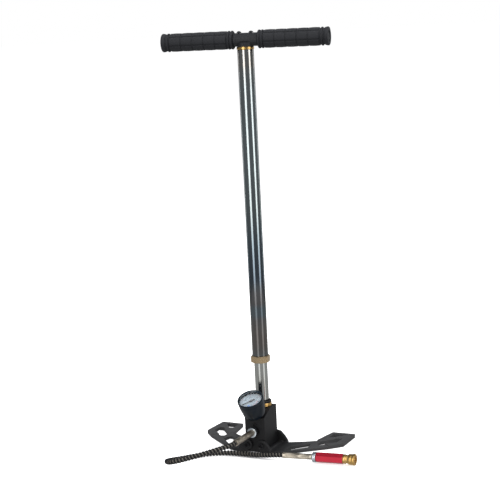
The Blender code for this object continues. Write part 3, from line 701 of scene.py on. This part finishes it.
def make_ferrules(nickel):
    near, far = FERRULE_NEAR, FERRULE_FAR
    base = [(near, 3.6, 0.0), (near, 4.9, 0.0), (near + 0.3, 5.1, 0.0), (near + 1.2, 5.1, 0.1),
            (near + 2.0, 5.0, 0.7), (near + 20.0, 4.95, 0.75), (near + 21.2, 5.1, 0.2),
            (near + 23.2, 5.1, 0.2), (near + 24.4, 4.95, 0.75), (far - 5.0, 4.95, 0.75),
            (far - 3.8, 5.1, 0.0), (far - 0.7, 5.1, 0.0), (far, 4.6, 0.0), (far, 3.6, 0.0)]
    crimped_sleeve("crimped_base", base, nickel, FORWARD, "base", "nickel_plate", "base_ferrule")
    last = END_FERRULE
    end = [(0.0, 3.6, 0.0), (0.0, 4.0, 0.0), (0.6, 4.5, 0.0), (3.0, 4.5, 0.0), (4.0, 4.4, 0.6),
           (24.0, 4.4, 0.6), (25.2, 4.5, 0.1), (27.0, 4.5, 0.1), (28.2, 4.4, 0.5), (last - 6.0, 4.4, 0.5),
           (last - 5.0, 4.5, 0.0), (last - 1.2, 4.5, 0.0), (last - 0.5, 4.2, 0.0), (last, 4.1, 0.0)]
    crimped_sleeve("crimped_end", end, nickel, COUPLER, "base", "nickel_plate", "end_ferrule")


# ---------------------------------------------------------------- turned metal

def make_tubes(steel, chrome, brass, rubber):
    top, foot = TUBE_TOP, TUBE_FOOT
    turned("outer_tube_turned", [(11.3, top), (12.4, top), (12.4, foot), (11.3, foot)], steel, at(),
           "handle", "polished_steel", "outer_tube", 0.15, 160)
    turned("inner_tube_turned", [(8.9, 575.0), (10.3, 575.0), (10.3, 52.1), (8.9, 52.1)], chrome, at(),
           "base", "chrome", "inner_tube", 0.15, 160)
    turned("top_ring_turned", [(3.9, 621.4), (13.1, 621.4), (13.1, 617.3), (3.9, 617.3)], brass, at(),
           "handle", "brass", "top_ring", 0.6)
    collar = [(10.6, 71.8), (14.0, 71.8), (14.0, 69.0), (13.5, 68.7), (13.5, 68.0), (14.0, 67.7),
              (14.0, 66.8), (12.0, 66.8), (12.0, 60.3), (10.6, 60.3)]
    turned("tube_collar_turned", collar, brass, at(), "base", "brass", "tube_collar", 0.35)
    bumper = [(10.6, 75.4), (13.8, 75.4), (13.8, 72.1), (10.6, 72.1)]
    turned("landing_bumper_turned", bumper, rubber, at(), "base", "black_rubber", "landing_bumper", 1.4)


def make_fitting(zinc):
    body = [(1.5, 43.0), (7.8, 43.0), (7.8, 38.9), (7.2, 38.4), (6.3, 38.4), (6.3, 34.1), (4.5, 34.1),
            (4.5, 26.6), (1.5, 26.6)]
    turned("hose_fitting_turned", body, zinc, FORWARD, "base", "zinc_plate", "hose_fitting", 0.5)


def make_coupler(zinc, brass):
    end = END_FERRULE
    nut = [(2.0, end + 6.0), (7.9, end + 6.0), (7.9, end + 3.6), (7.5, end + 3.3), (7.9, end + 3.0),
           (7.9, end + 0.3), (2.0, end + 0.3)]
    turned("coupler_nut_turned", nut, zinc, COUPLER, "base", "zinc_plate", "coupler_nut", 0.8)
    start = end + 6.6 + SLEEVE_LENGTH
    tip = start + 18.0
    body = [(4.0, tip), (5.4, tip), (5.4, start + 7.6), (6.4, start + 7.4), (6.4, start + 4.2),
            (7.2, start + 3.5), (7.2, start), (4.9, start), (4.9, start - 9.0), (2.0, start - 9.0),
            (2.0, start + 4.0), (4.0, start + 4.0)]
    turned("coupler_body_turned", body, brass, COUPLER, "base", "brass", "coupler_body", 0.3)
    collar = [(5.7, tip + 0.9), (8.1, tip + 0.9), (8.8, tip - 0.6), (8.5, start + 14.6), (8.1, start + 14.0),
              (8.1, start + 13.0), (8.3, start + 12.4), (8.2, start + 10.6), (7.8, start + 8.0),
              (7.2, start + 8.0), (7.2, start + 14.2), (5.7, start + 14.2)]
    turned("coupler_collar_turned", collar, brass, COUPLER, "coupler_collar", "brass", "coupler_collar", 0.8)


# ---------------------------------------------------------------- gauge

def make_gauge(enamel, marks, red_marks, blue_mark):
    bezel = [(17.5, -1.4), (18.2, 0.0), (20.4, 0.0), (20.4, -5.0), (19.0, -5.0), (19.0, -1.6)]
    turned("gauge_bezel_turned", bezel, enamel, GAUGE, "base", "black_plastic", "gauge_bezel", 0.9)
    case = [(18.6, -5.3), (20.2, -5.3), (20.0, -9.0), (19.5, -14.0), (18.9, -18.0), (17.6, -26.0),
            (15.6, -31.0), (14.4, -32.5), (4.3, -32.5), (4.3, -29.8), (13.2, -29.8), (15.4, -25.5),
            (17.2, -17.0), (17.9, -8.2)]
    turned("gauge_case_turned", case, enamel, GAUGE, "base", "black_plastic", "gauge_case", 0.6)
    ticks = bmesh.new()
    bold = bmesh.new()
    steps = 40
    for n in range(steps + 1):
        angle = math.radians(DIAL_ZERO - DIAL_SWEEP * n / steps)
        major = n % 8 == 0
        inner = DIAL_R - (3.0 if major else 1.7)
        add_bar(bold if major else ticks, angle, inner, DIAL_R - 0.4, 0.28 if major else 0.13)
    add_arc(ticks, DIAL_R - 0.4, 0.16, DIAL_ZERO, DIAL_ZERO - DIAL_SWEEP)
    piece_from("dial_ticks", ticks, marks, GAUGE, "base", "needle")
    add_arc(bold, 9.3, 0.55, DIAL_ZERO - DIAL_SWEEP * 0.75, DIAL_ZERO - DIAL_SWEEP)
    piece_from("dial_red_marks", bold, red_marks, GAUGE, "base", "needle")
    badge = bmesh.new()
    bmesh.ops.create_circle(badge, cap_ends=True, segments=32, radius=1.9 * MM)
    bmesh.ops.translate(badge, verts=badge.verts, vec=mm((0.0, -9.5, DIAL_FACE + 0.08)))
    piece_from("dial_blue_spot", badge, blue_mark, GAUGE, "base", "needle")
    make_numbers(marks)


def add_bar(form, angle, inner, outer, half):
    way, side = Vector((math.cos(angle), math.sin(angle))), Vector((-math.sin(angle), math.cos(angle)))
    corners = [way * inner - side * half, way * outer - side * half, way * outer + side * half,
               way * inner + side * half]
    form.faces.new([form.verts.new(mm((x, y, DIAL_FACE + 0.08))) for x, y in corners])


def add_arc(form, radius, width, start, stop):
    steps = 60
    inner, outer = [], []
    for n in range(steps + 1):
        angle = math.radians(start + (stop - start) * n / steps)
        for row, reach in ((inner, radius), (outer, radius + width)):
            row.append(form.verts.new(mm((reach * math.cos(angle), reach * math.sin(angle),
                                          DIAL_FACE + 0.08))))
    for k in range(steps):
        form.faces.new((inner[k], outer[k], outer[k + 1], inner[k + 1]))


def make_numbers(marks):
    """Plain numbers at the main marks of the dial."""
    form = bmesh.new()
    for n, word in enumerate(("0", "10", "20", "30", "40", "50")):
        angle = math.radians(DIAL_ZERO - DIAL_SWEEP * n / 5)
        text = bpy.data.curves.new("number", "FONT")
        text.body = word
        text.size = 4.0 * MM
        text.align_x = "CENTER"
        text.align_y = "CENTER"
        holder = bpy.data.objects.new("number", text)
        bpy.context.scene.collection.objects.link(holder)
        bpy.context.view_layer.update()
        mesh = bpy.data.meshes.new_from_object(holder)
        mesh.transform(Matrix.Translation(mm((11.9 * math.cos(angle), 11.9 * math.sin(angle),
                                              DIAL_FACE + 0.08))))
        form.from_mesh(mesh)
        bpy.data.objects.remove(holder, do_unlink=True)
        bpy.data.meshes.remove(mesh)
    piece_from("dial_numbers", form, marks, GAUGE, "base", "needle")


# ---------------------------------------------------------------- grips

def grip_stations(last):
    """(distance, radius, pads) from a grip's inner end; pads is 1 where it has lengthwise grooves."""
    ring_r, deep_r, pad_r, cut_r = 13.9, 12.0, 13.5, 12.7
    rows = []

    def band(start, stop, radius, foot, pads=0.0, ease=0.5, crown=0.0):
        rows.extend([(start, foot, 0.0), (start + 0.05, radius - ease, pads), (start + ease, radius, pads),
                     ((start + stop) / 2, radius + crown, pads),
                     (stop - ease, radius, pads), (stop - 0.05, radius - ease, pads), (stop, foot, 0.0)])

    band(0.0, 3.2, ring_r, 12.4, ease=0.8)
    band(5.0, 8.0, ring_r, deep_r, ease=0.8)
    pads = 5
    pitch = (last - 22.5) / pads
    for n in range(pads):
        start = 9.6 + n * pitch
        band(start, start + pitch - 0.9, pad_r, cut_r, 1.0, crown=0.3)
    band(last - 11.4, last - 8.4, ring_r, deep_r, ease=0.8)
    rows += [(last - 6.4, deep_r, 0.0), (last - 6.2, 12.6, 0.0), (last - 5.6, 13.1, 0.0),
             (last - 2.8, ring_r, 0.0), (last - 0.8, ring_r, 0.0), (last, 13.3, 0.0)]
    rows[0] = (0.0, 12.7, 0.0)
    return rows


def make_grip(name, side, start, phase, material):
    """A moulded grip: end rings and five rows of pads with six lengthwise grooves."""
    groove = [(0.0, 1.0), (2.4, 1.0), (4.2, 0.15), (5.2, 0.0), (12.0, 0.0), (18.0, 0.0), (24.0, 0.0),
              (30.0, 0.0), (36.0, 0.0), (42.0, 0.0), (48.0, 0.0), (54.8, 0.0), (55.8, 0.15), (57.6, 1.0)]
    around = []
    for sector in range(6):
        around += [(math.radians(phase + 60.0 * sector + angle), cut) for angle, cut in groove]
    outer = []
    for distance, radius, pads in grip_stations(GRIP_END - start):
        ring = []
        for angle, cut in around:
            reach = radius - 0.95 * cut * pads
            ring.append(mm((side * (start + distance), -reach * math.cos(angle),
                            reach * math.sin(angle))))
        outer.append(ring)
    bore = []
    for distance in (GRIP_END, start):
        bore.append([mm((side * distance, -GRIP_BORE * math.cos(angle), GRIP_BORE * math.sin(angle)))
                     for angle, _ in around])
    form = bmesh.new()
    skin_rings(form, outer + bore, loop=True)
    return piece_from(name + "_moulded", form, material, HANDLE, "handle", "black_rubber", name)


# ---------------------------------------------------------------- feet

def cast_foot(name, material):
    """A foot with the rounded edges of a casting: the CAD foot in fine cells, then relaxed."""
    source = frame["nodes"][name]
    rough = bpy.data.objects.new(name + "_rough", source.data.copy())
    bpy.context.scene.collection.objects.link(rough)
    cells = rough.modifiers.new("cells", "REMESH")
    cells.mode = "VOXEL"
    cells.voxel_size = 0.62 * MM
    relaxed = rough.modifiers.new("relaxed", "SMOOTH")
    relaxed.factor = 0.5
    relaxed.iterations = 9
    bpy.context.view_layer.update()
    shaped = rough.evaluated_get(bpy.context.evaluated_depsgraph_get())
    form = bmesh.new()
    form.from_mesh(shaped.to_mesh())
    shaped.to_mesh_clear()
    bpy.data.objects.remove(rough, do_unlink=True)
    return piece_from(name + "_cast", form, material, Matrix.Identity(4), name, "grey_casting", name)


# ---------------------------------------------------------------- carried-over nodes

def soften(node, width, angle=35.0):
    """Eases the edges of a CAD node and smooths its faces up to an angle."""
    mesh = node.data
    for face in mesh.polygons:
        face.use_smooth = True
    mesh.set_sharp_from_angle(angle=math.radians(angle))
    if width:
        bevel = node.modifiers.new("eased_edges", "BEVEL")
        bevel.width = width * MM
        bevel.segments = 2
        bevel.limit_method = "ANGLE"
        bevel.angle_limit = math.radians(angle)
        bevel.harden_normals = True


def dress_nodes(finishes):
    """Gives each CAD node its finish, by its slot or by name where it has one of its own."""
    eased_nodes = {
        "base_block": 0.3, "gland_nut": 0.25, "filter_sleeve": 0.3,
        "handle_hub": 0.5, "handle_screw_left": 0.3, "handle_screw_right": 0.3,
        "pivot_screw_front_left": 0.25, "pivot_screw_front_right": 0.25,
        "pivot_screw_rear_left": 0.25, "pivot_screw_rear_right": 0.25,
    }
    own = {
        "handle_hub": "powder_coat", "left_end_plug": "powder_coat", "right_end_plug": "powder_coat",
        "handle_screw_left": "powder_coat", "handle_screw_right": "powder_coat",
        "gland_nut": "pale_brass", "bleed_screw": "black_oxide", "fitting_washer": "black_oxide",
        "pivot_screw_front_left": "black_oxide", "pivot_screw_front_right": "black_oxide",
        "pivot_screw_rear_left": "black_oxide", "pivot_screw_rear_right": "black_oxide",
    }
    slots = {entry["node"]: entry["material_slot"] for entry in frame["record"]["subparts"]}
    for name, node in frame["nodes"].items():
        soften(node, eased_nodes.get(name, 0.0))
        node.data.materials.clear()
        node.data.materials.append(finishes[own.get(name, slots[name])])


def make_finishes():
    return {
        "black_anodised": black_anodised(),
        "powder_coat": powder_coat(),
        "brass": turned_brass(),
        "black_rubber": seal_rubber(),
        "chrome": hard_chrome(),
        "polished_steel": plated("polished_steel", (0.62, 0.62, 0.61), (0.48, 0.48, 0.47), 0.16),
        "zinc_plate": plated("zinc_plate", (0.66, 0.71, 0.75), (0.50, 0.55, 0.59), 0.20),
        "pale_brass": turned_brass("pale_brass", (0.78, 0.58, 0.35), (0.56, 0.41, 0.24)),
        "nickel_plate": plated("nickel_plate", (0.62, 0.55, 0.45), (0.40, 0.35, 0.28), 0.26,
                               (900.0, 900.0, 900.0)),
        "black_oxide": plated("black_oxide", (0.035, 0.035, 0.038), (0.07, 0.068, 0.066), 0.34),
        "black_plastic": gauge_enamel(),
        "clear_lens": lens_glass(),
        "dial_face": dial_paint(),
        "needle": ink("needle_enamel", (0.012, 0.014, 0.02)),
        "aluminium": plated("machined_aluminium", (0.66, 0.67, 0.68), (0.52, 0.53, 0.54), 0.3),
        "grey_casting": grey_casting(),
        "red_anodised": red_anodised(),
        "sintered_bronze": sintered_bronze(),
    }


def main():
    set_camera()
    set_floor()
    set_room()
    set_lights()
    finishes = make_finishes()
    dress_nodes(finishes)
    make_ferrules(finishes["nickel_plate"])
    make_tubes(reflection_painted_steel(), finishes["chrome"], finishes["brass"], finishes["black_rubber"])
    make_fitting(finishes["zinc_plate"])
    make_coupler(finishes["zinc_plate"], finishes["brass"])
    make_hose(braided_hose(), oxide_wire())
    dark_ink = ink("dark_ink", (0.02, 0.025, 0.04))
    red_ink = ink("red_ink", (0.42, 0.05, 0.06))
    blue_ink = ink("blue_ink", (0.06, 0.20, 0.55))
    make_gauge(finishes["black_plastic"], dark_ink, red_ink, blue_ink)
    frame["nodes"]["gauge_lens"].visible_shadow = False
    grip = grip_rubber()
    make_grip("left_grip", -1, LEFT_GRIP_START, 38.0, grip)
    make_grip("right_grip", 1, RIGHT_GRIP_START, 43.0, grip)
    for foot in ("left_foot", "right_foot"):
        cast_foot(foot, finishes["grey_casting"])
    bpy.context.scene.view_settings.view_transform = "Standard"
    bpy.context.view_layer.update()


main()
